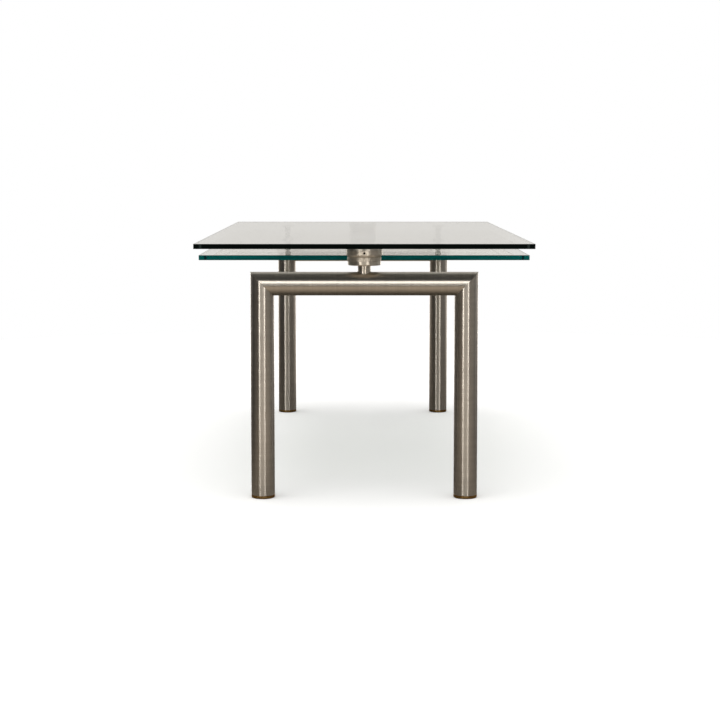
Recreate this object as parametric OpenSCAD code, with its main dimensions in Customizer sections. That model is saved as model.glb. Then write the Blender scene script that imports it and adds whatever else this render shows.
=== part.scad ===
// Extendable dining table: two glass levels on two round-tube end frames.
// X is the table's width, Y its length (-Y is the near end, which stays put), +Z is up.
// The origin is on the floor, under the centre of the closed table.

/* [Table] */
// Height of the upper glass's top face above the floor
table_h = 760; // [740:1:780]
// Length of the upper glass
top_l = 1800; // [1700:10:2000]
// Width of the upper glass
top_w = 1000; // [900:10:1100]
// Thickness of the upper glass
top_t = 15; // [12:1:19]

/* [Leaf] */
// Length of the lower glass, the leaf
leaf_l = 1480; // [1400:10:1520]
// Width of the lower glass
leaf_w = 1000; // [900:10:1100]
// Thickness of the lower glass
leaf_t = 15; // [12:1:16]
// Height of the lower glass's underside above the floor
leaf_z = 703; // [701:1:704]

/* [End frames] */
// Outside diameter of the frame tubes
tube_d = 70; // [60:1:76]
// Wall of the frame tubes
tube_wall = 2.5; // [2:0.5:4]
// Overall width of an end frame
frame_w = 674; // [640:2:760]
// Distance of each frame's plane from the table's centre
frame_y = 846; // [840:1:850]
// Height of the cross tube's axis
cross_z = 640; // [636:1:644]
// Height of the foot pads
foot_h = 9; // [8:1:15]

/* [Hubs] */
// Diameter of the post on the cross tube
post_d = 38; // [32:1:42]
// Height of the post's top
post_top = 695; // [692:1:698]
// Diameter of the base ring
base_d = 98; // [90:1:104]
// Diameter of the middle collar
collar_d = 101; // [90:1:105]
// Diameter of the head and of the disc above it
head_d = 107; // [100:1:116]

/* [Extension] */
// How far the far frame slides out
travel = 950; // [600:10:980]
// Width of the outer stretcher tube
outer_w = 36; // [34:1:40]
// Height of the outer stretcher tube
outer_h = 56; // [54:1:60]
// Diameter of the rollers under the leaf
support_roller_d = 30; // [24:1:32]
// Diameter of the rollers on the leaf
top_roller_d = 20; // [16:1:22]

/* [Hidden] */
$fn = 96;

// clearances
slip = 0.3;             // between sliding faces
pin_slip = 0.05;        // between a pin and its bore, on the radius
bore_slip = 0.3;        // between a bolt and a clearance hole, on the radius
past = 1;               // how far a cutting shape runs past the face it cuts
hair = 0.01;            // the same where there is no room for more

// glass
top_z = table_h - top_t;
leaf_top = leaf_z + leaf_t;
arris = 1;              // flat ground on the long edges
corner_r = 4;           // radius of the plates' corners

// end frames
tube_r = tube_d / 2;
bore_r = tube_r - tube_wall;
leg_x = frame_w / 2 - tube_r;
leg_bottom = foot_h + slip;
plug_h = 30;
stud_d = 10;
stud_bottom = 3;
stud_top = 45;
foot_round = 3.5;
foot_chamfer = 0.5;

// hubs, from the cross tube up
base_top = leaf_top - 10;
base_round = 3.5;
hub_chamfer = 0.6;      // on the rims of the turned pieces
collar_top = leaf_top;
groove_top = collar_top + 1.5;
groove_d = 94;
head_flare = 7;         // height of the head's chamfered underside
head_top = 738;
recess_d = 70;          // socket for the disc's spigot
recess_z = head_top - 8;
spigot_d = recess_d - 2 * pin_slip;
hub_bolt_d = 10;
hub_bolt_head_d = 16;
hub_bolt_head_z = groove_top + 4.5;
hub_bolt_head_h = 6;
hub_bolt_bottom = 681;
hub_bolt_hex = 9;       // across the corners of its socket
hub_bolt_web = 2;       // metal under the socket
grub_d = 6.5;
grub_z = 732.3;
grub_l = 11;
grub_hex = 3.4;
grub_hex_deep = 3;

// telescopic stretcher
outer_wall = 2;
box_r = 3;              // outside corner radius of both box tubes
outer_inside_r = box_r - outer_wall;
outer_end = 600;        // the outer tube's mouth
outer_top = cross_z + outer_h / 2;
inner_w = outer_w - 8;
inner_h = outer_h - 8;
inner_wall = 2.5;
inner_inside_r = box_r - inner_wall;
inner_top = cross_z + inner_h / 2;
inner_start = -760;
glide_l = 60;
collar_l = 4;           // the mouth glide's collar outside the tube
stop_y = 500;
stop_d = 8;
stop_head_d = 14;
stop_head_h = 5;
stop_l = 9;             // its length above the tube's underside
stop_hex = 6.9;
stop_hex_deep = 3;
slot_w = 9;

// roller bars and leaf bars
bar_l = 556;
bar_w = 20;
bar_t = 14;
bar_chamfer = 1;
bar_z = leaf_z - 22.3;   // leaves room for the bonded discs
bar_top = bar_z + bar_t;
roller_bars_y = [-120, 540];
leaf_bars_y = [635, 715];
screw_d = 6;
screw_head_d = 10;
screw_head_h = 4;
screw_x = 8;            // the screws' distance from the table's centre line
screw_bottom = outer_top + 3;
screw_hex = 4.6;
screw_hex_deep = 2.5;

// rollers
roller_l = 12;
axle_d = 8;
axle_z = leaf_z - slip - support_roller_d / 2;
roller_x = bar_l / 2 + 8;
axle_root = 16;         // length of axle held in the bar's end
axle_head_d = axle_d + 5;
axle_head_l = 2.4;
top_axle_d = 6;
top_axle_head_d = top_axle_d + 3;
top_axle_head_l = 1.5;
top_axle_z = leaf_top + slip + top_roller_d / 2;
fork_x = 285;
fork_y = roller_bars_y[1];
fork_plate_d = 44;
fork_plate_t = 3;
cheek_t = 3;
cheek_r = 8;

// discs that bond the leaf to its bars
leaf_disc_x = 250;
leaf_disc_d = 50;
leaf_disc_pin_d = 8;
leaf_disc_pin_l = 11;

// lock
lock_y = 575;
lock_boss_d = 24;
lock_boss_l = 9;
lock_shaft_d = 10;
lock_handle_l = 62;
lock_handle_w = 10;
lock_handle_t = 7;
lock_hub_d = 22;
lock_hub_l = 12;
lock_grip_d = 14;
lock_shaft_out = 14;    // length of shaft outside the boss

near = -1;
far = 1;
left = -1;
right = 1;

steel = [0.62, 0.58, 0.53];
dark_steel = [0.40, 0.36, 0.32];
bronze = [0.45, 0.30, 0.10];
clear = [0.80, 0.84, 0.82, 0.6];
teal = [0.30, 0.55, 0.50, 0.6];
nylon = [0.86, 0.86, 0.84];
alloy = [0.70, 0.71, 0.72];

// ---- helpers ----

// A cylinder along X or Y, centred on the point it is moved to.
module rod_x(d, l) { rotate([0, 90, 0]) cylinder(d = d, h = l, center = true); }
module rod_y(d, l) { rotate([90, 0, 0]) cylinder(d = d, h = l, center = true); }

// A box centred in X and Y, with its underside at z = 0.
module block(x, y, z) { translate([-x / 2, -y / 2, 0]) cube([x, y, z]); }

// A box tube along Y from y0 to y1, centred on the cross tube's height, with round corners
// of radius r_out outside and r_in inside.
module box_tube(w, h, wall, y0, y1, r_out, r_in) {
    translate([0, y0, cross_z])
        rotate([-90, 0, 0])
            linear_extrude(y1 - y0)
                difference() {
                    rounded(w, h, r_out);
                    rounded(w - 2 * wall, h - 2 * wall, r_in);
                }
}

// A turned disc with a chamfer of c on both rims.
module turned_disc(d, h, c) {
    rotate_extrude() polygon([[0, 0], [d / 2 - c, 0], [d / 2, c], [d / 2, h - c], [d / 2 - c, h], [0, h]]);
}

// A rectangle with chamfered corners.
module chamfered(w, t, c) {
    polygon([[-w / 2 + c, 0], [w / 2 - c, 0], [w / 2, c], [w / 2, t - c],
             [w / 2 - c, t], [-w / 2 + c, t], [-w / 2, t - c], [-w / 2, c]]);
}

// A rectangle with round corners.
module rounded(w, l, r) {
    square([w - 2 * r, l], center = true);
    square([w, l - 2 * r], center = true);
    for (x = [-1, 1], y = [-1, 1])
        translate([x * (w / 2 - r), y * (l / 2 - r)]) circle(r);
}

// Half the section of a turned piece: radius r, height h, a round lower rim and a chamfered
// upper rim. The circle runs past the axis side, so it is intersected with the quadrant.
module round_foot_profile(r, h, round_r, c) {
    polygon([[0, 0], [r - round_r, 0], [r - round_r, round_r], [r, round_r],
             [r, h - c], [r - c, h], [0, h]]);
    translate([r - round_r, round_r]) circle(round_r, $fn = 32);
}

// A glass plate with a flat ground arris along its edges.
module glass_plate(w, l, t) {
    intersection() {
        linear_extrude(t) rounded(w, l, corner_r);
        rotate([90, 0, 0]) linear_extrude(l + 2 * past, center = true) chamfered(w, t, arris);
        rotate([90, 0, 90]) linear_extrude(w + 2 * past, center = true) chamfered(l, t, arris);
    }
}

// The half space on the cross tube's side of the mitre at one leg.
module mitre_side(side) {
    far_off = 4 * tube_d;
    translate([side * leg_x, 0, cross_z])
        rotate([0, -side * 45, 0])
            block(far_off, far_off, far_off);
}

// ---- glass ----

module upper_glass() { color(clear) translate([0, 0, top_z]) glass_plate(top_w, top_l, top_t); }
module lower_glass() { color(teal) translate([0, 0, leaf_z]) glass_plate(leaf_w, leaf_l, leaf_t); }

// ---- end frames ----

module leg(end, side) {
    top = cross_z + tube_r + past;
    color(steel)
        translate([0, end * frame_y, 0])
            difference() {
                translate([side * leg_x, 0, leg_bottom]) cylinder(r = tube_r, h = top - leg_bottom);
                translate([side * leg_x, 0, leg_bottom - past])
                    cylinder(r = bore_r, h = top - leg_bottom + 2 * past);
                mitre_side(side);
            }
}

module cross_tube(end) {
    color(steel)
        translate([0, end * frame_y, 0])
            difference() {
                translate([0, 0, cross_z]) rod_x(tube_d, frame_w);
                translate([0, 0, cross_z]) rod_x(2 * bore_r, frame_w + 2 * past);
                for (side = [left, right])
                    translate([side * leg_x, 0, cross_z])
                        rotate([0, side * 135, 0])
                            block(4 * tube_d, 4 * tube_d, 4 * tube_d);
            }
}

module leg_plugs(end) {
    color(dark_steel)
        for (side = [left, right])
            translate([side * leg_x, end * frame_y, leg_bottom])
                difference() {
                    cylinder(r = bore_r, h = plug_h);
                    translate([0, 0, -past]) cylinder(d = stud_d + 2 * pin_slip, h = plug_h + 2 * past);
                }
}

module foot(end, side) {
    color(bronze)
        translate([side * leg_x, end * frame_y, 0])
            difference() {
                rotate_extrude()
                    intersection() {
                        round_foot_profile(tube_r, foot_h, foot_round, foot_chamfer);
                        square([tube_r, foot_h]);
                    }
                translate([0, 0, stud_bottom]) cylinder(d = stud_d, h = foot_h);
            }
}

module foot_stud(end, side) {
    color(alloy)
        translate([side * leg_x, end * frame_y, stud_bottom])
            cylinder(d = stud_d, h = stud_top - stud_bottom);
}

// ---- hubs ----

module hub_post(end) {
    color(steel)
        translate([0, end * frame_y, 0])
            difference() {
                translate([0, 0, cross_z]) cylinder(d = post_d, h = post_top - cross_z);
                translate([0, 0, cross_z]) rod_x(tube_d, 2 * post_d);
                translate([0, 0, hub_bolt_bottom]) cylinder(d = hub_bolt_d, h = post_top);
            }
}

module hub_base(end) {
    color(steel)
        translate([0, end * frame_y, post_top])
            difference() {
                rotate_extrude()
                    intersection() {
                        round_foot_profile(base_d / 2, base_top - post_top, base_round, hub_chamfer);
                        square([base_d / 2, base_top - post_top]);
                    }
                translate([0, 0, -past]) cylinder(d = hub_bolt_d + 2 * bore_slip, h = base_top);
            }
}

module hub_collar(end) {
    color(steel)
        translate([0, end * frame_y, 0])
            difference() {
                union() {
                    translate([0, 0, base_top]) turned_disc(collar_d, collar_top - base_top, hub_chamfer);
                    translate([0, 0, base_top]) cylinder(d = groove_d, h = groove_top - base_top);
                }
                translate([0, 0, base_top - past])
                    cylinder(d = hub_bolt_d + 2 * bore_slip, h = leaf_t + 2 * past);
            }
}

module hub_head(end) {
    rim = head_d / 2;
    color(steel)
        translate([0, end * frame_y, 0])
            difference() {
                rotate_extrude()
                    polygon([[0, groove_top], [base_d / 2 - hub_chamfer, groove_top],
                             [base_d / 2, groove_top + hub_chamfer], [rim, groove_top + head_flare],
                             [rim, head_top - hub_chamfer], [rim - hub_chamfer, head_top], [0, head_top]]);
                translate([0, 0, groove_top - past]) cylinder(d = hub_bolt_d + 2 * bore_slip, h = head_top);
                translate([0, 0, hub_bolt_head_z]) cylinder(d = hub_bolt_head_d + 1, h = head_top);
                translate([0, 0, recess_z]) cylinder(d = recess_d, h = head_top);
                translate([0, end * (recess_d + head_d) / 4, grub_z])
                    rod_y(grub_d, (head_d - recess_d) / 2 + 4 * past);
            }
}

module hub_grub_screw(end) {
    mid = recess_d / 2 + grub_l / 2;
    color(dark_steel)
        translate([0, end * (frame_y + mid), grub_z])
            difference() {
                rod_y(grub_d, grub_l);
                translate([0, end * (grub_l / 2), 0]) rotate([90, 0, 0])
                    cylinder(d = grub_hex, h = 2 * grub_hex_deep, center = true, $fn = 6);
            }
}

module hub_bolt(end) {
    color(dark_steel)
        translate([0, end * frame_y, 0])
            difference() {
                union() {
                    translate([0, 0, hub_bolt_bottom])
                        cylinder(d = hub_bolt_d, h = hub_bolt_head_z - hub_bolt_bottom);
                    translate([0, 0, hub_bolt_head_z]) cylinder(d = hub_bolt_head_d, h = hub_bolt_head_h);
                }
                translate([0, 0, hub_bolt_head_z + hub_bolt_web])
                    cylinder(d = hub_bolt_hex, h = hub_bolt_head_h, $fn = 6);
            }
}

// The disc on top of a hub, with a spigot that sits in the head's socket.
module hub_disc(end, top) {
    translate([0, end * frame_y, 0]) {
        translate([0, 0, recess_z + slip]) cylinder(d = spigot_d, h = head_top - recess_z - slip);
        translate([0, 0, head_top]) turned_disc(head_d, top - head_top, hub_chamfer);
    }
}
module glass_bonding_disc() { color(dark_steel) hub_disc(near, top_z); }
module far_slide_pad() { color(nylon) hub_disc(far, top_z - slip); }

// ---- telescopic stretcher ----

module outer_stretcher_tube() {
    color(steel)
        difference() {
            box_tube(outer_w, outer_h, outer_wall, -frame_y, outer_end, box_r, outer_inside_r);
            translate([0, -frame_y, cross_z]) rod_x(tube_d, 2 * outer_w);
            translate([0, stop_y, cross_z - outer_h / 2])
                cylinder(d = stop_d, h = 3 * outer_wall, center = true);
            translate([outer_w / 2, lock_y, cross_z]) rod_x(lock_shaft_d + 2 * pin_slip, 3 * outer_wall);
        }
}

module inner_stretcher_tube() {
    slot_r = slot_w / 2;
    color(steel)
        difference() {
            box_tube(inner_w, inner_h, inner_wall, inner_start, frame_y, box_r, inner_inside_r);
            translate([0, frame_y, cross_z]) rod_x(tube_d, 2 * inner_w);
            translate([0, stop_y, cross_z - inner_h / 2])
                cylinder(d = slot_w, h = 3 * inner_wall, center = true);
            translate([0, stop_y - travel, cross_z - inner_h / 2])
                cylinder(d = slot_w, h = 3 * inner_wall, center = true);
            translate([-slot_r, stop_y - travel, cross_z - inner_h / 2 - 1.5 * inner_wall])
                cube([slot_w, travel, 3 * inner_wall]);
        }
}

// Nylon sleeve in the outer tube's mouth; the inner tube slides in it.
module mouth_glide() {
    wall = (outer_w - inner_w) / 2 - outer_wall - slip;
    color(nylon) {
        box_tube(outer_w - 2 * outer_wall, outer_h - 2 * outer_wall, wall,
                 outer_end - glide_l, outer_end, outer_inside_r, box_r + slip);
        box_tube(outer_w, outer_h, wall + outer_wall, outer_end, outer_end + collar_l, box_r, box_r + slip);
    }
}

// Nylon sleeve on the inner tube's rear end; it slides in the outer tube.
module rear_glide() {
    wall = (outer_w - inner_w) / 2 - outer_wall - slip;
    color(nylon) {
        box_tube(inner_w + 2 * wall, inner_h + 2 * wall, wall,
                 inner_start, inner_start + glide_l, outer_inside_r - slip, box_r);
        box_tube(inner_w + 2 * wall, inner_h + 2 * wall, wall + inner_wall,
                 inner_start - collar_l, inner_start, outer_inside_r - slip, inner_inside_r);
    }
}

module stop_bolt() {
    color(dark_steel)
        translate([0, stop_y, cross_z - outer_h / 2]) {
            cylinder(d = stop_d, h = stop_l);
            translate([0, 0, -stop_head_h]) difference() {
                cylinder(d = stop_head_d, h = stop_head_h);
                translate([0, 0, -past]) cylinder(d = stop_hex, h = stop_hex_deep + past, $fn = 6);
            }
        }
}

// ---- bars, spacers and screws ----

// Flat bar across the table, counterbored for two screws; children are cut from it.
module cross_bar(y) {
    color(alloy)
        translate([0, y, bar_z])
            difference() {
                rotate([90, 0, 90]) linear_extrude(bar_l, center = true) chamfered(bar_w, bar_t, bar_chamfer);
                for (x = [-screw_x, screw_x])
                    translate([x, 0, 0]) {
                        translate([0, 0, -past]) cylinder(d = screw_d + 2 * bore_slip, h = bar_t + 2 * past);
                        translate([0, 0, bar_t - screw_head_h])
                            cylinder(d = screw_head_d + 2 * bore_slip, h = bar_t);
                    }
                children();
            }
}

// A bar that holds a roller axle in each end.
module roller_bar(y) {
    cross_bar(y)
        for (side = [left, right])
            translate([side * (bar_l / 2 - axle_root / 2), 0, axle_z - bar_z])
                rod_x(axle_d, axle_root + hair);
}

// A bar with a blind hole near each end for the pin of a bonded disc.
module leaf_bar(y) {
    cross_bar(y)
        for (side = [left, right])
            translate([side * leaf_disc_x, 0, bar_t - leaf_disc_pin_l])
                cylinder(d = leaf_disc_pin_d, h = bar_t);
}

// Spacer blocks welded on a stretcher tube, tapped for the bar's screws.
module spacers(width, from_z, places) {
    color(dark_steel)
        for (y = places)
            translate([0, y, from_z])
                difference() {
                    block(width, bar_w, bar_z - from_z);
                    for (x = [-screw_x, screw_x])
                        translate([x, 0, screw_bottom - from_z]) cylinder(d = screw_d, h = bar_top);
                }
}

module bar_screws(places) {
    color(dark_steel)
        for (y = places, x = [-screw_x, screw_x])
            translate([x, y, 0])
                difference() {
                    union() {
                        translate([0, 0, screw_bottom])
                            cylinder(d = screw_d, h = bar_top - screw_head_h - screw_bottom);
                        translate([0, 0, bar_top - screw_head_h])
                            cylinder(d = screw_head_d, h = screw_head_h);
                    }
                    translate([0, 0, bar_top - screw_hex_deep]) cylinder(d = screw_hex, h = bar_t, $fn = 6);
                }
}

// ---- rollers ----

// A nylon roller with a running bore, round rims and a turned recess in each side, about X.
module roller(d, l, bore) {
    rim = 1.5;
    recess_in = bore / 2 + 0.12 * d;
    recess_out = 0.36 * d;
    recess_l = 0.12 * l;
    color(nylon)
        rotate([0, 90, 0])
            rotate_extrude()
                difference() {
                    union() {
                        translate([0, -l / 2]) square([d / 2 - rim, l]);
                        translate([0, -l / 2 + rim]) square([d / 2, l - 2 * rim]);
                        for (y = [-1, 1])
                            translate([d / 2 - rim, y * (l / 2 - rim)]) circle(rim, $fn = 32);
                    }
                    translate([-d, -l]) square([d + bore / 2, 2 * l]);
                    if (recess_out > recess_in + 1)
                        for (y = [-l / 2, l / 2])
                            translate([recess_in, y - recess_l])
                                square([recess_out - recess_in, 2 * recess_l]);
                }
}

module support_roller(y, side) {
    translate([side * roller_x, y, axle_z]) roller(support_roller_d, roller_l, axle_d + 2 * pin_slip);
}

module support_roller_axles() {
    inside = bar_l / 2 - axle_root;
    outside = roller_x + roller_l / 2 + slip;
    color(steel)
        for (y = roller_bars_y, side = [left, right])
            translate([0, y, axle_z]) {
                translate([side * (inside + outside) / 2, 0, 0]) rod_x(axle_d, outside - inside);
                translate([side * (outside + axle_head_l / 2), 0, 0]) rod_x(axle_head_d, axle_head_l);
            }
}

module top_roller(side) {
    translate([side * fork_x, fork_y, top_axle_z]) roller(top_roller_d, roller_l, top_axle_d + 2 * pin_slip);
}

// A fork bonded under the upper glass: a round plate with two cheeks.
module roller_fork(side) {
    cheek_x = roller_l / 2 + slip + cheek_t / 2;
    plate_z = top_z - fork_plate_t;
    color(steel)
        translate([side * fork_x, fork_y, 0]) {
            translate([0, 0, plate_z]) cylinder(d = fork_plate_d, h = fork_plate_t);
            for (x = [-cheek_x, cheek_x])
                translate([x, 0, 0])
                    difference() {
                        union() {
                            translate([0, 0, top_axle_z]) rod_x(2 * cheek_r, cheek_t);
                            translate([0, 0, top_axle_z]) block(cheek_t, 2 * cheek_r, plate_z - top_axle_z);
                        }
                        translate([0, 0, top_axle_z]) rod_x(top_axle_d, cheek_t + 2 * past);
                    }
        }
}

module top_roller_axles() {
    reach = roller_l / 2 + slip + cheek_t;
    color(dark_steel)
        for (side = [left, right])
            translate([side * fork_x, fork_y, top_axle_z]) {
                rod_x(top_axle_d, 2 * reach);
                for (x = [-1, 1])
                    translate([x * (reach + top_axle_head_l / 2), 0, 0])
                        rod_x(top_axle_head_d, top_axle_head_l);
            }
}

// ---- leaf fixings ----

module leaf_bonding_discs() {
    color(dark_steel)
        for (y = leaf_bars_y, side = [left, right])
            translate([side * leaf_disc_x, y, 0]) {
                translate([0, 0, bar_top]) cylinder(d = leaf_disc_d, h = leaf_z - bar_top);
                translate([0, 0, bar_top - leaf_disc_pin_l])
                    cylinder(d = leaf_disc_pin_d, h = leaf_disc_pin_l);
            }
}

// ---- lock ----

module lock_boss() {
    color(steel)
        translate([outer_w / 2 + lock_boss_l / 2, lock_y, cross_z])
            difference() {
                rod_x(lock_boss_d, lock_boss_l);
                rod_x(lock_shaft_d + 2 * pin_slip, lock_boss_l + 2 * past);
            }
}

// The cam shaft: its inner end presses the mouth glide on the inner tube.
module lock_shaft() {
    inside = outer_w / 2 - outer_wall + slip;
    outside = outer_w / 2 + lock_boss_l + lock_shaft_out;
    color(alloy)
        translate([(inside + outside) / 2, lock_y, cross_z]) rod_x(lock_shaft_d, outside - inside);
}

// The hand lever, pointing back along the stretcher when locked.
module lock_lever() {
    x = outer_w / 2 + lock_boss_l + slip + lock_hub_l / 2;
    color([0.12, 0.12, 0.12])
        translate([x, lock_y, cross_z])
            difference() {
                union() {
                    rod_x(lock_hub_d, lock_hub_l);
                    translate([-lock_handle_t / 2, -lock_handle_l, -lock_handle_w / 2])
                        cube([lock_handle_t, lock_handle_l, lock_handle_w]);
                    translate([0, -lock_handle_l, 0]) rod_x(lock_grip_d, lock_hub_l);
                }
                rod_x(lock_shaft_d, lock_hub_l + 2 * past);
            }
}

// ---- nodes ----

upper_glass();
lower_glass();

leg(near, left);  // near_left_leg
leg(near, right);  // near_right_leg
cross_tube(near);  // near_cross_tube
leg_plugs(near);  // near_leg_plugs
leg(far, left);  // far_left_leg
leg(far, right);  // far_right_leg
cross_tube(far);  // far_cross_tube
leg_plugs(far);  // far_leg_plugs

foot(near, left);  // near_left_foot
foot(near, right);  // near_right_foot
foot(far, left);  // far_left_foot
foot(far, right);  // far_right_foot
foot_stud(near, left);  // near_left_foot_stud
foot_stud(near, right);  // near_right_foot_stud
foot_stud(far, left);  // far_left_foot_stud
foot_stud(far, right);  // far_right_foot_stud

hub_post(near);  // near_hub_post
hub_base(near);  // near_hub_base
hub_collar(near);  // near_hub_collar
hub_head(near);  // near_hub_head
hub_grub_screw(near);  // near_hub_grub_screw
hub_bolt(near);  // near_hub_bolt
glass_bonding_disc();
hub_post(far);  // far_hub_post
hub_base(far);  // far_hub_base
hub_collar(far);  // far_hub_collar
hub_head(far);  // far_hub_head
hub_grub_screw(far);  // far_hub_grub_screw
hub_bolt(far);  // far_hub_bolt
far_slide_pad();

outer_stretcher_tube();
mouth_glide();
stop_bolt();
inner_stretcher_tube();
rear_glide();

roller_bar(roller_bars_y[0]);  // near_roller_bar
roller_bar(roller_bars_y[1]);  // far_roller_bar
spacers(outer_w, outer_top, roller_bars_y);  // roller_bar_spacers
bar_screws(roller_bars_y);  // roller_bar_screws
support_roller_axles();
support_roller(roller_bars_y[0], left);  // near_left_roller
support_roller(roller_bars_y[0], right);  // near_right_roller
support_roller(roller_bars_y[1], left);  // far_left_roller
support_roller(roller_bars_y[1], right);  // far_right_roller
roller_fork(left);  // left_roller_fork
roller_fork(right);  // right_roller_fork
top_roller_axles();
top_roller(left);  // left_top_roller
top_roller(right);  // right_top_roller

leaf_bar(leaf_bars_y[0]);  // inner_leaf_bar
leaf_bar(leaf_bars_y[1]);  // outer_leaf_bar
spacers(inner_w, inner_top, leaf_bars_y);  // leaf_bar_spacers
bar_screws(leaf_bars_y);  // leaf_bar_screws
leaf_bonding_discs();

lock_boss();
lock_shaft();
lock_lever();
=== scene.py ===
# %% [markdown]
# # An extendable dining table of glass and brushed steel
#
# The real table has two glass plates, one above the other. The upper plate stands on two steel
# end frames. The lower plate hangs under it on a telescoping stretcher and slides out lengthwise.
# The solid steel, rollers and screws come ready made from a CAD model, in metres, standing on the
# floor at height zero with its long side along Y. This lesson dresses that frame: it gives each
# metal and plastic its finish, rebuilds the two glass plates with ground edges, adds the weld
# lines, and sets the studio light and the camera.

# %% Load the CAD frame
import math

import bmesh
import bpy
from mathutils import Matrix, Vector


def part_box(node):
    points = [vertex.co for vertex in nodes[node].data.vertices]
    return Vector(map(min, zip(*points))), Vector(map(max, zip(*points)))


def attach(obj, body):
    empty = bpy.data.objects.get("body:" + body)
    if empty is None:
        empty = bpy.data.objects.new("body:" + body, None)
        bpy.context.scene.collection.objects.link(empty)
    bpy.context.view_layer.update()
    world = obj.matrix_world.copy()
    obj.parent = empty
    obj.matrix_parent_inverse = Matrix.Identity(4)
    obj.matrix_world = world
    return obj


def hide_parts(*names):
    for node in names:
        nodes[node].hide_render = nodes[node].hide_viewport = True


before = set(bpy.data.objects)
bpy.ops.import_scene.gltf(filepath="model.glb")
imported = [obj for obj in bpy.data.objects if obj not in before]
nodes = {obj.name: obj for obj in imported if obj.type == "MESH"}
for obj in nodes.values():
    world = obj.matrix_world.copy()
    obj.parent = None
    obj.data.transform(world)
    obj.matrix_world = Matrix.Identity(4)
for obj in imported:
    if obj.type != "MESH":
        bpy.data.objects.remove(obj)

bpy.context.view_layer.update()

# %% [markdown]
# ## The camera
#
# The table is seen end on, from about five metres away, a little above its top. A long lens this
# far back keeps the legs upright and parallel. The camera tilts down five degrees, and a small
# lens shift places the table a little above the middle of the picture without tilting further.

# %% Set up the camera
CAMERA_PLACE = (-0.0175, -5.674, 0.998)
CAMERA_TILT = 84.8
CAMERA_LENS = 81.83
CAMERA_SHIFT = (0.0023, -0.068)

camera_data = bpy.data.cameras.new("table_camera")
camera_data.lens = CAMERA_LENS
camera_data.shift_x, camera_data.shift_y = CAMERA_SHIFT
camera = bpy.data.objects.new("table_camera", camera_data)
camera.location = CAMERA_PLACE
camera.rotation_euler = (math.radians(CAMERA_TILT), 0, 0)
bpy.context.scene.collection.objects.link(camera)
bpy.context.scene.camera = camera
print("camera at", CAMERA_PLACE, "lens", CAMERA_LENS)

# %% [markdown]
# ## Two short ways to write a node
#
# Every finish below is a small network of nodes. Two helpers keep the networks readable: one adds
# a node and fills its sockets, the other joins an output to an input. A socket takes either a
# plain value or another node's output, so one call can do both.

# %% Node helpers
def add_node(tree, kind, settings=None, **sockets):
    """Adds a node of that kind. settings are its properties, sockets its inputs by name or number."""
    node = tree.nodes.new(kind)
    for key, value in (settings or {}).items():
        setattr(node, key, value)
    for key, value in sockets.items():
        name = int(key[1:]) if key[0] == "i" and key[1:].isdigit() else key.replace("_", " ")
        feed(tree, node.inputs[name], value)
    return node


def feed(tree, socket, value):
    """Links an output to the socket, or sets the socket's own value."""
    if isinstance(value, bpy.types.NodeSocket):
        tree.links.new(value, socket)
    else:
        socket.default_value = value


def maths(tree, operation, a, b=0.0):
    """One Math node's result."""
    return add_node(tree, "ShaderNodeMath", {"operation": operation}, i0=a, i1=b).outputs[0]


def product(tree, *factors):
    """All the factors multiplied together."""
    result = factors[0]
    for factor in factors[1:]:
        result = maths(tree, "MULTIPLY", result, factor)
    return result


def over_half(tree, value):
    """1 where the value is above a half. It turns a bounce count, or a yes or no, into a mask."""
    return maths(tree, "GREATER_THAN", value, 0.5)


def smooth_step(tree, value, low, high, out_low=0.0, out_high=1.0):
    """Rises smoothly from out_low to out_high as the value goes from low to high."""
    return add_node(tree, "ShaderNodeMapRange", {"interpolation_type": "SMOOTHSTEP"}, Value=value,
                    From_Min=low, From_Max=high, To_Min=out_low, To_Max=out_high).outputs[0]


print("node helpers ready")

# %% [markdown]
# ## The studio around the table
#
# Brushed steel shows little of its own colour: what we see on it is the room. So the table stands
# in a dark tent, with one wide soft light low in front of it and a narrow strip light at each end
# of that one. They make the white band along the cross tube and the two bright lines down each
# leg. A pale backdrop and two more strips stand behind, and weaker lights at the sides and high up
# keep the steel from going black when the table is seen from there.
#
# The world below is that room. It is painted by direction: how far to the right of the front, in
# degrees, and how far above the horizon.

# %% Directions in the room
world = bpy.data.worlds.new("studio")
bpy.context.scene.world = world
world.use_nodes = True
room = world.node_tree
room.nodes.clear()

DEGREES = math.degrees(1.0)
ray = add_node(room, "ShaderNodeTexCoord").outputs["Generated"]
ray_parts = add_node(room, "ShaderNodeSeparateXYZ", Vector=ray).outputs
towards_front = product(room, ray_parts[1], -1.0)
turned = product(room, maths(room, "ARCTAN2", ray_parts[0], towards_front), DEGREES)
height = product(room, maths(room, "ARCSINE", ray_parts[2]), DEGREES)
# the same on the left and on the right, so that it has no seam behind the table
aside = maths(room, "ABSOLUTE", turned)
print("directions ready")


# %% Walls, ceiling and lamps
def between(value, low, high, soft):
    """1 between low and high, falling to 0 over soft outside them."""
    rise = smooth_step(room, value, low - soft, low)
    fall = smooth_step(room, value, high, high + soft, 1.0, 0.0)
    return product(room, rise, fall)


WALL_LEFT, WALL_RIGHT = 0.045, 0.23
CEILING = 0.35
BACKDROP = 0.57
ROOM_TINT = (1.0, 0.948, 0.883)

walls = smooth_step(room, ray_parts[0], -0.8, 0.8, WALL_LEFT, WALL_RIGHT)
room_glow = product(room, walls, smooth_step(room, height, 30.0, 50.0, 1.0, CEILING))
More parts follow.
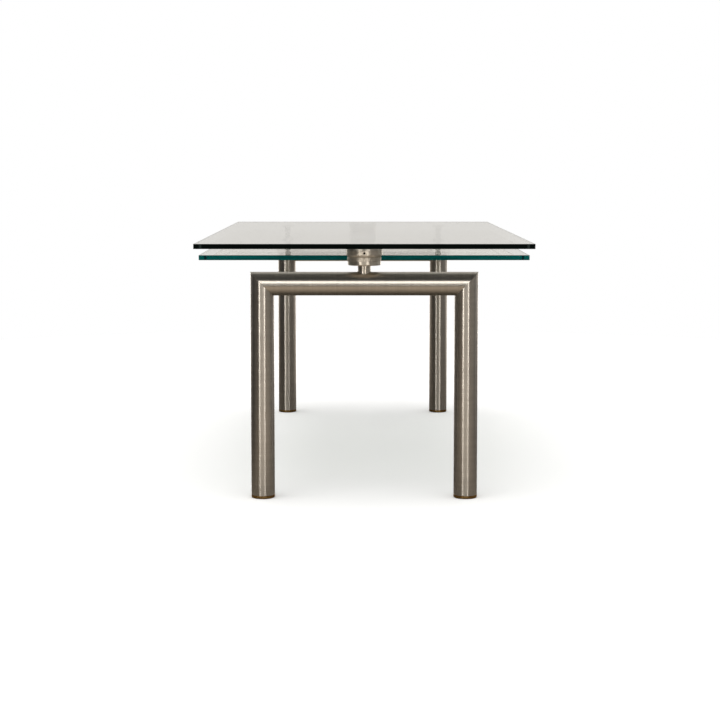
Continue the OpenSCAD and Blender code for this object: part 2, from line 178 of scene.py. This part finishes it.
# a lamp's compass, its window on that compass and its window of heights as (from, to, soft edge)
# in degrees, and its strength
lamps = {
    "wide light in front": (turned, (-26.0, 20.0, 8.0), (15.0, 26.0, 10.0), 1.9),
    "left strip": (turned, (-30.5, -26.5, 2.0), (-9.0, 26.0, 9.0), 5.0),
    "right strip": (turned, (20.0, 23.5, 2.0), (-9.0, 26.0, 9.0), 4.25),
    "backdrop": (aside, (152.0, 200.0, 14.0), (-20.0, 30.0, 14.0), BACKDROP),
    "two strips behind": (aside, (154.0, 159.0, 3.0), (-9.0, 30.0, 9.0), 2.6),
    "upper ring": (aside, (100.0, 200.0, 30.0), (40.0, 58.0, 10.0), 0.36),
    "right side strip": (turned, (111.0, 117.0, 4.0), (-14.0, 40.0, 14.0), 0.55),
    "left side strip": (turned, (-121.0, -116.0, 4.0), (-14.0, 40.0, 14.0), 0.30),
}
for compass, window, heights, strength in lamps.values():
    lamp = product(room, between(compass, *window), between(height, *heights), strength)
    room_glow = maths(room, "ADD", room_glow, lamp)
warm_room = add_node(room, "ShaderNodeVectorMath", {"operation": "SCALE"}, i0=ROOM_TINT,
                     Scale=room_glow).outputs[0]
print("studio lamps:", ", ".join(lamps))

# %% [markdown]
# ## Who sees which room
#
# A world can tell rays apart, and that lets each surface have the room that suits it. The camera,
# straight on or through the glass, sees plain white. Rough surfaces get an even soft white. Steel,
# whose reflections are blurred, sees the dark tent with its lamps. A clean glass face is a perfect
# mirror, and Cycles calls its reflection singular, so that one can see an even pale wall instead:
# the plates then look light from every side, and not only where the backdrop is.

# %% The four rooms
SOFT_WHITE = (0.80, 0.80, 0.80, 1.0)
GLASS_ROOM = (0.705, 0.689, 0.660, 1.0)

path = add_node(room, "ShaderNodeLightPath").outputs
white_now = add_node(room, "ShaderNodeMix", {"data_type": "RGBA"}, i0=over_half(room, path["Diffuse Depth"]),
                     i6=(1.0, 1.0, 1.0, 1.0), i7=SOFT_WHITE).outputs[2]
plain = add_node(room, "ShaderNodeBackground", Color=white_now)
tent = add_node(room, "ShaderNodeBackground", Color=warm_room)
pale = add_node(room, "ShaderNodeBackground", Color=GLASS_ROOM)

after_gloss = over_half(room, path["Glossy Depth"])
no_diffuse = maths(room, "LESS_THAN", path["Diffuse Depth"], 0.5)
seen_in_steel = product(room, after_gloss, no_diffuse)
first_reflection = product(room, after_gloss, maths(room, "LESS_THAN", path["Glossy Depth"], 1.5))
not_through = maths(room, "LESS_THAN", path["Is Transmission Ray"], 0.5)
seen_in_glass = product(room, path["Is Singular Ray"], not_through, first_reflection)

tent_or_plain = add_node(room, "ShaderNodeMixShader", i0=seen_in_steel, i1=plain.outputs[0],
                         i2=tent.outputs[0])
whole_room = add_node(room, "ShaderNodeMixShader", i0=seen_in_glass, i1=tent_or_plain.outputs[0],
                      i2=pale.outputs[0])
add_node(room, "ShaderNodeOutputWorld", Surface=whole_room.outputs[0])
print("world nodes:", len(room.nodes))

# %% [markdown]
# ## The overhead light and the floor
#
# One large soft light from above presses a faint shadow under the table, so that it stands on the
# floor and doesn't float. It is a sun, so that the floor is equally bright near and far. Shiny
# surfaces don't see it, or every tube would carry one more line. The floor is a wide white disc.
# In the steel its reflection should be a warm grey, as a concrete floor in dim light gives, so shiny
# rays meet a darker version of it, with painted light in front of the table and painted shade
# under it. From below the disc can't be seen, so that the underside of the table can.

# %% The overhead light
overhead = bpy.data.lights.new("overhead_softbox", "SUN")
overhead.energy = 1.5
overhead.angle = math.radians(50.0)
overhead.color = (1.0, 0.99, 0.97)
overhead_lamp = bpy.data.objects.new("overhead_softbox", overhead)
overhead_lamp.rotation_euler = (math.radians(8.0), math.radians(-5.0), 0)
overhead_lamp.visible_camera = False
overhead_lamp.visible_glossy = False
overhead_lamp.visible_transmission = False
bpy.context.scene.collection.objects.link(overhead_lamp)
print("overhead light, strength", overhead.energy)

# %% The floor
FLOOR_RADIUS = 4.0
floor_shape = bmesh.new()
bmesh.ops.create_circle(floor_shape, cap_ends=True, segments=96, radius=FLOOR_RADIUS)
floor_mesh = bpy.data.meshes.new("studio_floor")
floor_shape.to_mesh(floor_mesh)
floor_shape.free()
studio_floor = bpy.data.objects.new("studio_floor", floor_mesh)
bpy.context.scene.collection.objects.link(studio_floor)

FLOOR_WHITE = (0.93, 0.93, 0.925, 1.0)
FLOOR_GREY = (0.405, 0.335, 0.262, 1.0)
# black: the painted shade in the floor's reflection, under the table and far off
FLOOR_PAINTED_SHADE = (0.0, 0.0, 0.0, 1.0)
floor_paint = bpy.data.materials.new("floor_white")
floor_paint.use_nodes = True
tree = floor_paint.node_tree
tree.nodes.clear()
white = add_node(tree, "ShaderNodeBsdfDiffuse", Color=FLOOR_WHITE)
floor_place = add_node(tree, "ShaderNodeSeparateXYZ",
                       Vector=add_node(tree, "ShaderNodeTexCoord").outputs["Object"]).outputs
# painted light and shade for shiny rays: the lit grey lies in front of the near legs, fades towards
# black, a painted shade, further off, to the sides and under the table, and comes back behind it
in_front = product(tree, smooth_step(tree, floor_place[1], -1.75, -0.5, 1.0, 0.22),
                   smooth_step(tree, floor_place[1], -3.8, -2.0, 0.4, 1.0))
across = maths(tree, "ADD", smooth_step(tree, floor_place[0], -1.3, -0.5, 0.12, 0.85),
               smooth_step(tree, floor_place[0], 0.4, 1.2, 0.15, -0.35))
behind = smooth_step(tree, floor_place[1], 1.2, 2.0, 0.0, 1.0)
painted_floor_light = maths(tree, "MAXIMUM", product(tree, in_front, across), behind)
# the reflected floor's grey, with its painted light and painted shade
floor_grey_with_painted_shade = add_node(tree, "ShaderNodeMix", {"data_type": "RGBA"}, i0=painted_floor_light, i6=FLOOR_PAINTED_SHADE,
                    i7=FLOOR_GREY).outputs[2]
grey = add_node(tree, "ShaderNodeBsdfDiffuse", Color=floor_grey_with_painted_shade)
seen_in_gloss = over_half(tree, add_node(tree, "ShaderNodeLightPath").outputs["Glossy Depth"])
floor_mix = add_node(tree, "ShaderNodeMixShader", i0=seen_in_gloss, i1=white.outputs[0], i2=grey.outputs[0])
from_below = add_node(tree, "ShaderNodeNewGeometry").outputs["Backfacing"]
one_sided = add_node(tree, "ShaderNodeMixShader", i0=from_below, i1=floor_mix.outputs[0],
                     i2=add_node(tree, "ShaderNodeBsdfTransparent").outputs[0])
add_node(tree, "ShaderNodeOutputMaterial", Surface=one_sided.outputs[0])
floor_mesh.materials.append(floor_paint)
print("floor faces up:", floor_mesh.polygons[0].normal.z > 0)
print("floor disc, radius", FLOOR_RADIUS)

# %% [markdown]
# ## Starting a finish
#
# Each finish is a Principled surface. What is the same all over, such as how metallic it is, goes
# straight on the surface's own sockets. What varies, such as colour, roughness and the tiny relief
# of the brushing, comes from noise that is read in object coordinates, so it sits still on the
# piece when the table opens.

# %% Helpers that start a finish
METAL_IOR, PLASTIC_IOR, GLASS_IOR = 2.5, 1.53, 1.52
EVEN = (1.0, 1.0, 1.0)


def new_finish(name, **sockets):
    """A material with one Principled surface: the material, its tree, the surface, object coordinates."""
    finish = bpy.data.materials.new(name)
    finish.use_nodes = True
    tree = finish.node_tree
    tree.nodes.clear()
    surface = add_node(tree, "ShaderNodeBsdfPrincipled", **sockets)
    add_node(tree, "ShaderNodeOutputMaterial", Surface=surface.outputs[0])
    place = add_node(tree, "ShaderNodeTexCoord").outputs["Object"]
    return finish, tree, surface, place


def grain(tree, place, stretch, scale, detail=3.0, roughness=0.55):
    """Noise stretched by a Mapping node: a large number packs the pattern tightly along that axis."""
    laid = add_node(tree, "ShaderNodeMapping", Vector=place, Scale=stretch).outputs[0]
    return add_node(tree, "ShaderNodeTexNoise", Vector=laid, Scale=scale, Detail=detail,
                    Roughness=roughness).outputs[0]


def two_tone(tree, mask, dark, light):
    """Blends from dark to light as the mask rises."""
    return add_node(tree, "ShaderNodeMix", {"data_type": "RGBA"}, i0=mask,
                    i6=(*dark, 1.0), i7=(*light, 1.0)).outputs[2]


def weighted(tree, *pairs):
    """Sums patterns, each with its weight."""
    total = maths(tree, "MULTIPLY", *pairs[0])
    for pattern, weight in pairs[1:]:
        total = maths(tree, "ADD", total, maths(tree, "MULTIPLY", pattern, weight))
    return total


def relief(tree, surface, pattern, strength, depth=0.0001):
    """Turns the pattern into a fine relief on the surface."""
    bump = add_node(tree, "ShaderNodeBump", Strength=strength, Distance=depth, Height=pattern)
    feed(tree, surface.inputs["Normal"], bump.outputs[0])


print("finish helpers ready")

# %% [markdown]
# ## Brushed steel
#
# The legs and cross tubes are stainless tube, ground round and round with a belt. The fine rings
# spread a reflection along the tube and keep it sharp across, which is why each lamp becomes one
# long crisp line. Anisotropy does that spread. It needs the tube's own direction, so the finish is
# made three times: for the upright legs, for tubes across the table, and for tubes along it. The
# bars that carry the rollers and the leaf are brushed like the cross tubes.
# Besides the rings there are broad, faint clouds in tone and roughness, left by the belt and by
# hands. The roughness hardly drifts, or the bright lines would have wavy edges.

# %% The brushed steel finish
RINGS = (900.0, 6.0)        # the ground rings: turns of the pattern per metre along and across the tube
STREAKS = (90.0, 3.0)       # coarser marks of the belt
STEEL = (0.63, 0.60, 0.55)
STEEL_DRIFT = 0.006


def stretch_along(along, packed, loose):
    """A Mapping scale: packed tightly along the tube's axis and loosely across it."""
    return [v * packed + (1.0 - v) * loose for v in along]


def brushed_steel(name, along, rough=0.30, spread=0.9):
    """Stainless steel ground in rings around a tube that runs along the given axis."""
    finish, tree, surface, place = new_finish(name, Metallic=1.0, Anisotropic=spread, IOR=METAL_IOR)
    rings = grain(tree, place, stretch_along(along, *RINGS), 1.0, 4.0, 0.7)
    streaks = grain(tree, place, stretch_along(along, *STREAKS), 1.0, 3.0, 0.6)
    clouds = grain(tree, place, EVEN, 5.0, 4.0, 0.6)
    tone = weighted(tree, (rings, 0.35), (streaks, 0.35), (clouds, 0.3))
    feed(tree, surface.inputs["Base Color"],
         two_tone(tree, smooth_step(tree, tone, 0.30, 0.70), [v * 0.90 for v in STEEL],
                  [v * 1.08 for v in STEEL]))
    feed(tree, surface.inputs["Roughness"],
         smooth_step(tree, clouds, 0.30, 0.70, rough - STEEL_DRIFT, rough + STEEL_DRIFT))
    feed(tree, surface.inputs["Tangent"],
         add_node(tree, "ShaderNodeCombineXYZ", X=along[0], Y=along[1], Z=along[2]).outputs[0])
    relief(tree, surface, rings, 0.012)
    return finish


leg_steel = brushed_steel("leg_brushed_steel", (0.0, 0.0, 1.0))
cross_steel = brushed_steel("cross_tube_brushed_steel", (1.0, 0.0, 0.0))
stretcher_steel = brushed_steel("stretcher_brushed_steel", (0.0, 1.0, 0.0), rough=0.38)
print("brushed steel in three directions")

# %% Dress the tubes
def dress(finish, *names):
    """Gives CAD nodes their finish."""
    for name in names:
        nodes[name].data.materials[0] = finish
        dressed.add(name)


dressed = set()
dress(leg_steel, "near_left_leg", "near_right_leg", "far_left_leg", "far_right_leg")
dress(cross_steel, "near_cross_tube", "far_cross_tube", "near_roller_bar", "far_roller_bar",
      "inner_leaf_bar", "outer_leaf_bar")
dress(stretcher_steel, "outer_stretcher_tube", "inner_stretcher_tube")
print("tubes and bars dressed:", len(dressed))

# %% [markdown]
# ## Turned steel
#
# The hub between the frame and the upper plate is turned on a lathe, so its marks run round its
# own upright axis. On the walls they are rings that change with height, and on the flat faces they
# are rings that change with the distance from the axis. The pattern below reads both: height plus
# radius. Each hub stands on its own axis, and the lathe left each of its pieces a little more or
# less matt, so the finish is made once for each piece of each hub.

# %% The turned steel finish
TURNED_STEEL = (0.72, 0.67, 0.585)
LATHE_MARKS = 1800.0


def turned_steel(name, axis_x, axis_y, rough):
    """Steel turned on an upright axis through the given point."""
    finish, tree, surface, place = new_finish(name, Metallic=1.0, Anisotropic=0.6, IOR=METAL_IOR)
    local = add_node(tree, "ShaderNodeMapping", Vector=place, Location=(-axis_x, -axis_y, 0.0)).outputs[0]
    parts = add_node(tree, "ShaderNodeSeparateXYZ", Vector=local).outputs
    flat = add_node(tree, "ShaderNodeCombineXYZ", X=parts[0], Y=parts[1], Z=0.0).outputs[0]
    radius = add_node(tree, "ShaderNodeVectorMath", {"operation": "LENGTH"}, i0=flat).outputs["Value"]
    lathe_way = maths(tree, "ADD", radius, parts[2])
    lathe = add_node(tree, "ShaderNodeTexNoise", {"noise_dimensions": "1D"}, W=lathe_way, Scale=LATHE_MARKS,
                     Detail=3.0).outputs[0]
    clouds = grain(tree, place, EVEN, 26.0, 4.0, 0.6)
    tone = weighted(tree, (lathe, 0.5), (clouds, 0.5))
    feed(tree, surface.inputs["Base Color"],
         two_tone(tree, smooth_step(tree, tone, 0.30, 0.70), [v * 0.82 for v in TURNED_STEEL],
                  [v * 1.12 for v in TURNED_STEEL]))
    feed(tree, surface.inputs["Roughness"], smooth_step(tree, tone, 0.32, 0.68, rough - 0.06, rough + 0.07))
    feed(tree, surface.inputs["Tangent"],
         add_node(tree, "ShaderNodeCombineXYZ", X=0.0, Y=0.0, Z=1.0).outputs[0])
    relief(tree, surface, lathe, 0.03)
    return finish


# how matt the lathe left each piece
HUB_SATIN = {"post": 0.26, "base": 0.32, "collar": 0.50, "head": 0.42}
for end in ("near", "far"):
    hub_low, hub_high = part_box(f"{end}_hub_base")
    axis = (hub_low + hub_high) / 2
    for piece, satin in HUB_SATIN.items():
        dress(turned_steel(f"{end}_hub_{piece}_steel", axis.x, axis.y, rough=satin), f"{end}_hub_{piece}")
print("hubs dressed")

# %% [markdown]
# ## The smaller metals
#
# The feet are turned from bronze that has darkened with age and only shines where it is rubbed.
# Their studs, the spacers and the plugs in the legs are plain steel. The bolts, screws and axles
# are zinc plated. The bonding discs, the roller forks and the lock's boss are satin steel. All of
# them are one recipe with other numbers: a metal whose colour and roughness drift in soft clouds,
# with fine scratches in its relief.

# %% The cast and plated metal finish
def plain_metal(name, dark, light, rough, cloud_size=60.0):
    """A metal with soft clouds of tarnish and fine scratches in every direction."""
    finish, tree, surface, place = new_finish(name, Metallic=1.0, IOR=METAL_IOR)
    clouds = grain(tree, place, EVEN, cloud_size, 5.0, 0.62)
    scratches = grain(tree, place, (1.0, 0.25, 3.0), 700.0, 3.0, 0.6)
    tone = weighted(tree, (clouds, 0.7), (scratches, 0.3))
    feed(tree, surface.inputs["Base Color"], two_tone(tree, smooth_step(tree, tone, 0.34, 0.66), dark, light))
    feed(tree, surface.inputs["Roughness"], smooth_step(tree, tone, 0.32, 0.68, rough - 0.07, rough + 0.09))
    relief(tree, surface, scratches, 0.08)
    return finish


foot_bronze = plain_metal("foot_bronze", (0.30, 0.165, 0.052), (0.52, 0.33, 0.12), 0.34, 90.0)
stud_steel = plain_metal("stud_steel", (0.34, 0.33, 0.31), (0.50, 0.48, 0.45), 0.36)
zinc_plate = plain_metal("zinc_plate", (0.56, 0.57, 0.56), (0.74, 0.74, 0.70), 0.28, 140.0)
disc_steel = plain_metal("disc_steel", (0.52, 0.49, 0.44), (0.66, 0.62, 0.56), 0.34, 50.0)
# the grub screws in the hub heads are blackened, and painted near black with the shade deep in
# their hole as well, so their hole reads as a dark dot
black_oxide_and_painted_shade = plain_metal("black_oxide_steel", (0.010, 0.010, 0.010), (0.026, 0.025, 0.024), 0.45)
legs_of_table = [f"{end}_{side}" for end in ("near", "far") for side in ("left", "right")]
dress(foot_bronze, *[f"{leg}_foot" for leg in legs_of_table])
dress(stud_steel, *[f"{leg}_foot_stud" for leg in legs_of_table])
dress(black_oxide_and_painted_shade, "near_hub_grub_screw", "far_hub_grub_screw")
print("dressed so far:", len(dressed))

# %% [markdown]
# ## Plastics
#
# The rollers, glides and the far slide pad are nylon: milky, faintly yellow and a little waxy.
# The lever of the lock is black moulded plastic with a fine spark grain, which breaks up the shine.

# %% Nylon and black plastic
def moulded_plastic(name, dark, light, rough, grain_scale, grain_depth, gloss):
    """A moulded plastic: slow drift of colour, fine grain in the relief."""
    finish, tree, surface, place = new_finish(name, IOR=PLASTIC_IOR, Specular_IOR_Level=gloss)
    clouds = grain(tree, place, EVEN, 55.0, 4.0, 0.6)
    spark = grain(tree, place, EVEN, grain_scale, 2.0, 0.5)
    feed(tree, surface.inputs["Base Color"], two_tone(tree, smooth_step(tree, clouds, 0.3, 0.7), dark, light))
    feed(tree, surface.inputs["Roughness"], smooth_step(tree, clouds, 0.3, 0.7, rough - 0.06, rough + 0.07))
    relief(tree, surface, spark, 0.25, grain_depth)
    return finish


nylon = moulded_plastic("nylon", (0.70, 0.68, 0.61), (0.80, 0.785, 0.73), 0.42, 500.0, 0.0001, 0.4)
black_plastic = moulded_plastic("black_plastic", (0.012, 0.012, 0.012), (0.022, 0.022, 0.021), 0.46,
                                1500.0, 0.0002, 0.5)
print("plastics ready")

# %% [markdown]
# ## The rest of the fittings
#
# Every CAD piece came with the name of a material slot. The pieces above needed a finish of their
# own. All the others take the finish that belongs to their slot, and only the two glass plates are
# left, because they are built anew.

# %% Dress what is left by its slot
finish_of_slot = {
    "frame_steel": disc_steel,
    "plain_steel": stud_steel,
    "fastener_steel": zinc_plate,
    "nylon": nylon,
    "black_plastic": black_plastic,
}
for name in sorted(set(nodes) - dressed):
    slot_name = nodes[name].data.materials[0].name.split(".")[0]
    if slot_name in finish_of_slot:
        dress(finish_of_slot[slot_name], name)
print("dressed:", len(dressed), "left:", sorted(set(nodes) - dressed))

# %% [markdown]
# ## The glass plates
#
# Both plates are clear float glass, cut square, with tiny round corners and a narrow ground
# chamfer, called an arris, along every edge. Three things give a plate its look. Its faces are
# clear, faintly green, and mirror the pale wall of the studio. Its edges look dark, because light
# there has travelled the whole length of the plate: nearly black in the upper plate, deep bottle
# green in the lower one. The arris is matt from grinding and shows as a hairline. So a plate is a
# box with three materials. It starts as a cube, and the bevels give it its corners and its arris.
# A hair of glue is left under it, so that the glass and the discs bonded to its underside don't
# share a face.

# %% Build a plate
ARRIS = 0.0006
CORNER = 0.004
GLUE = 0.0001


def find_edge_and_arris(plate):
    """Material 0 on the two big faces, 1 on the edges, 2 on the ground arris."""
    for face in plate.faces:
        tilt = abs(face.normal.z)
        face.material_index = 0 if tilt > 0.99 else 1 if tilt < 0.1 else 2


def glass_plate(name, node, finishes, body):
    """A glass plate in the box of a CAD node, with round corners and a ground arris."""
    low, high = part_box(node)
    low.z += GLUE
    plate = bmesh.new()
    bmesh.ops.create_cube(plate, size=1.0)
    bmesh.ops.scale(plate, vec=high - low, verts=plate.verts)
    bmesh.ops.translate(plate, vec=(low + high) / 2, verts=plate.verts)
    upright = [e for e in plate.edges if abs((e.verts[0].co - e.verts[1].co).z) > 0.001]
    bmesh.ops.bevel(plate, geom=upright, offset=CORNER, offset_type="OFFSET", affect="EDGES", segments=5,
                    profile=0.5, material=-1)
    plate.normal_update()
    rim = [e for e in plate.edges if any(abs(f.normal.z) > 0.9 for f in e.link_faces)]
    bmesh.ops.bevel(plate, geom=rim, offset=ARRIS, offset_type="OFFSET", affect="EDGES", segments=1,
                    profile=0.5, material=-1)
    plate.normal_update()
    find_edge_and_arris(plate)
    mesh = bpy.data.meshes.new(name)
    plate.to_mesh(mesh)
    plate.free()
    for finish in finishes:
        mesh.materials.append(finish)
    piece = bpy.data.objects.new(name, mesh)
    bpy.context.scene.collection.objects.link(piece)
    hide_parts(node)
    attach(piece, body)
    print(name, "faces:", len(mesh.polygons), "size:", [round(v, 3) for v in high - low])


# %% [markdown]
# ### Glass that lets its shadow through
#
# Real glass bends light into bright patterns that take very long to render. A shadow that is just
# a little tinted looks the same here, so for shadow rays the glass is a pale see-through filter.
# The face is a perfect mirror with no roughness at all. Its tint drifts a little in soft smears.

# %% The clear faces
def clear_glass(name, tint, shadow_tint, mirror):
    """The big faces: clear, faintly green, with soft smears of cleaning on them."""
    finish, tree, surface, place = new_finish(name, Transmission_Weight=1.0, IOR=GLASS_IOR, Roughness=0.0,
                                              Specular_IOR_Level=mirror)
    smears = grain(tree, place, (3.0, 1.0, 1.0), 2.2, 5.0, 0.6)
    feed(tree, surface.inputs["Base Color"],
         two_tone(tree, smooth_step(tree, smears, 0.3, 0.7), [v * 0.985 for v in tint], tint))
    output = [n for n in tree.nodes if n.bl_idname == "ShaderNodeOutputMaterial"][0]
    shadow_filter = add_node(tree, "ShaderNodeBsdfTransparent", Color=(*shadow_tint, 1.0))
    in_shadow = add_node(tree, "ShaderNodeLightPath").outputs["Is Shadow Ray"]
    mix = add_node(tree, "ShaderNodeMixShader", i0=in_shadow, i1=surface.outputs[0],
                   i2=shadow_filter.outputs[0])
    feed(tree, output.inputs["Surface"], mix.outputs[0])
    return finish


upper_face = clear_glass("upper_plate_face", (0.965, 0.985, 0.975), (0.875, 0.88, 0.87), 0.5)
leaf_face = clear_glass("lower_plate_face", (0.955, 0.985, 0.972), (0.88, 0.885, 0.87), 0.7)
print("clear faces ready")

# %% [markdown]
# ### Edges
#
# Close to each corner of a plate, its other edge can be seen through the glass as a short dark or
# pale bar. The bars are painted where they stand: a fixed way in from the corner.

# %% The edges and the arris
BAR_START, BAR_END, BAR_BLUR = 0.018, 0.023, 0.002


def glass_edge(name, dark, light, rough, gloss, half_size=None, bar_tone=None):
    """A polished or ground edge: the dark inside of the glass under a clean gloss, faintly streaked.
    half_size is half the plate's width and length, for the bars at its corners, and bar_tone their colour."""
    finish, tree, surface, place = new_finish(name, IOR=GLASS_IOR, Specular_IOR_Level=gloss)
    depth = grain(tree, place, (1.0, 1.0, 40.0), 7.0, 3.0, 0.5)
    fine = grain(tree, place, EVEN, 900.0, 2.0, 0.5)
    colour = two_tone(tree, smooth_step(tree, depth, 0.3, 0.7), dark, light)
    if half_size:
        bars = []
        parts = add_node(tree, "ShaderNodeSeparateXYZ", Vector=place).outputs
        for part, half in zip(parts, half_size):
            to_corner = maths(tree, "SUBTRACT", half, maths(tree, "ABSOLUTE", part))
            bars.append(product(tree, smooth_step(tree, to_corner, BAR_START - BAR_BLUR, BAR_START),
                                smooth_step(tree, to_corner, BAR_END, BAR_END + BAR_BLUR, 1.0, 0.0)))
        bar = add_node(tree, "ShaderNodeMix", {"data_type": "RGBA"}, i0=maths(tree, "MAXIMUM", *bars),
                       i6=colour, i7=(*bar_tone, 1.0))
        colour = bar.outputs[2]
    feed(tree, surface.inputs["Base Color"], colour)
    feed(tree, surface.inputs["Roughness"], smooth_step(tree, fine, 0.3, 0.7, rough * 0.8, rough * 1.2))
    relief(tree, surface, fine, 0.05)
    return finish


upper_low, upper_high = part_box("upper_glass")
leaf_low, leaf_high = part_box("lower_glass")
upper_edge = glass_edge("upper_plate_edge", (0.0010, 0.0018, 0.0015), (0.0022, 0.0038, 0.0033), 0.10, 0.04,
                        (upper_high - upper_low).xy / 2, (0.016, 0.022, 0.020))
leaf_edge = glass_edge("lower_plate_edge", (0.0008, 0.064, 0.057), (0.002, 0.098, 0.089), 0.12, 0.05,
                       (leaf_high - leaf_low).xy / 2, (0.001, 0.020, 0.022))
ground_arris = glass_edge("ground_arris", (0.016, 0.024, 0.022), (0.036, 0.048, 0.044), 0.38, 0.2)
print("edges ready")

# %% Make the two plates
glass_plate("upper_glass_plate", "upper_glass", (upper_face, upper_edge, ground_arris), "table")
glass_plate("lower_glass_plate", "lower_glass", (leaf_face, leaf_edge, ground_arris), "extension")

# %% [markdown]
# ## Rings
#
# The last details are thin rings: weld beads, and a sleeve in a hole. Each is a small outline spun
# round an axis, which closes on itself and makes a torus. One helper draws the round outline of a
# bead, and the other spins any outline.

# %% Spin an outline into a ring
BODY_OF_END = {"near": "table", "far": "extension"}


def bead_outline(radius, half_width, half_height):
    """A closed outline of eight corners at the given distance from the axis, its first point repeated."""
    return [(radius + half_width * math.cos(turn), half_height * math.sin(turn))
            for turn in (math.radians(45 * step) for step in range(9))]


def turned_ring(name, outline, centre, finish, body, steps=96, lying=False):
    """Spins an outline of (distance, level) points about an upright axis, or about Y if it is lying."""
    ring = bmesh.new()
    corners = [ring.verts.new((distance, 0.0, level)) for distance, level in outline]
    edges = [ring.edges.new(pair) for pair in zip(corners, corners[1:])]
    bmesh.ops.spin(ring, geom=corners + edges, cent=(0, 0, 0), axis=(0, 0, 1), angle=math.radians(360),
                   steps=steps, use_merge=True, use_duplicate=False)
    bmesh.ops.remove_doubles(ring, verts=ring.verts, dist=1e-7)
    if lying:
        bmesh.ops.transform(ring, matrix=Matrix.Rotation(math.radians(90), 4, "X"), verts=ring.verts)
    bmesh.ops.translate(ring, vec=centre, verts=ring.verts)
    bmesh.ops.recalc_face_normals(ring, faces=ring.faces)
    mesh = bpy.data.meshes.new(name)
    ring.to_mesh(mesh)
    ring.free()
    mesh.materials.append(finish)
    mesh.shade_smooth()
    piece = bpy.data.objects.new(name, mesh)
    bpy.context.scene.collection.objects.link(piece)
    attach(piece, body)
    return piece


print("ring helpers ready")

# %% [markdown]
# ## Mitre lines
#
# Each cross tube meets its legs in a mitre, welded and ground flush. All that is left to see is a
# hairline round the joint. A thin ring on the leg's wall does for it. Its points are then lowered
# by as much as they lie towards the middle of the table, and lifted on the other side, which tips
# the ring into the sloping plane where the two tubes meet.

# %% Rings along the four mitres
MITRE_LINE = 0.00035
seam_steel = plain_metal("mitre_line_steel", (0.30, 0.28, 0.25), (0.42, 0.40, 0.36), 0.45, 120.0)
for end, body in BODY_OF_END.items():
    tube_low, tube_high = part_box(f"{end}_cross_tube")
    for side, slope in (("left", -1.0), ("right", 1.0)):
        leg_low, leg_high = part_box(f"{end}_{side}_leg")
        leg_radius = (leg_high.y - leg_low.y) / 2
        joint = (leg_low + leg_high) / 2
        joint.z = (tube_low.z + tube_high.z) / 2
        hairline = bead_outline(leg_radius, MITRE_LINE, MITRE_LINE)
        line = turned_ring(f"{end}_{side}_mitre_line", hairline, joint, seam_steel, body)
        for point in line.data.vertices:
            point.co.z += slope * (point.co.x - joint.x)
print("four mitre lines")

# %% [markdown]
# ## Small fittings at the hub
#
# Two details sit on the hub. The screw that locks the head sits deep in its hole. A short dark
# sleeve lines the hole in front of it: it is painted shade, black like the inside of a deep hole.
# Where the post meets the cross tube runs a fine weld bead. It is a ring like the mitre line, but
# each of its points is lifted onto the round back of the tube.

# %% A sleeve of painted shade in the grub screw's hole
SHADE_SLEEVE_WALL = 0.0007
CLEARANCE = 0.00005         # the sleeve stands this far off the hole's wall
RECESS = 0.0008             # and ends this far inside the hole's mouth

# painted shade: the near-black sleeve stands in for the shade deep inside the hole
painted_hole_shade = moulded_plastic("painted_hole_shade", (0.006, 0.005, 0.004), (0.014, 0.012, 0.009), 0.5,
                               900.0, 0.0002, 0.2)
for end, body in BODY_OF_END.items():
    screw_low, screw_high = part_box(f"{end}_hub_grub_screw")
    head_low, head_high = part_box(f"{end}_hub_head")
    hole_radius = (screw_high.z - screw_low.z) / 2
    if end == "near":
        screw_face, mouth = screw_low.y, head_low.y + RECESS
    else:
        screw_face, mouth = screw_high.y, head_high.y - RECESS
    middle = (screw_low + screw_high) / 2
    middle.y = (screw_face + mouth) / 2
    half = abs(mouth - screw_face) / 2 - 2 * CLEARANCE
    inner, outer = hole_radius - SHADE_SLEEVE_WALL, hole_radius - CLEARANCE
    sleeve = [(outer, -half), (outer, half), (inner, half), (inner, -half), (outer, -half)]
    turned_ring(f"{end}_hub_painted_shade_sleeve", sleeve, middle, painted_hole_shade, body, steps=48,
                lying=True)
print("threads in the hub holes")

# %% The weld bead round the post
BEAD_WIDTH, BEAD_HEIGHT = 0.0016, 0.0012
BEAD_LIFT = 0.0002

for end, body in BODY_OF_END.items():
    post_low, post_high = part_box(f"{end}_hub_post")
    tube_low, tube_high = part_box(f"{end}_cross_tube")
    post_axis = (post_low + post_high) / 2
    post_radius = (post_high.x - post_low.x) / 2
    tube_axis_z = (tube_low.z + tube_high.z) / 2
    tube_radius = (tube_high.z - tube_low.z) / 2
    bead = turned_ring(f"{end}_post_weld", bead_outline(post_radius, BEAD_WIDTH, BEAD_HEIGHT),
                       Vector((post_axis.x, post_axis.y, 0.0)), seam_steel, body)
    for point in bead.data.vertices:
        off = point.co.y - post_axis.y
        point.co.z += tube_axis_z + math.sqrt(max(0.0, tube_radius ** 2 - off ** 2)) + BEAD_LIFT
print("weld beads round the posts")

# %% [markdown]
# ## Finish
#
# The picture is shown without a film curve, so that white stays white.

# %% Show it plainly and finish
bpy.context.scene.view_settings.view_transform = "Standard"
bpy.context.scene.view_settings.look = "None"
# light crosses the gap between the two plates in many shallow hops
bpy.context.scene.cycles.glossy_bounces = 12
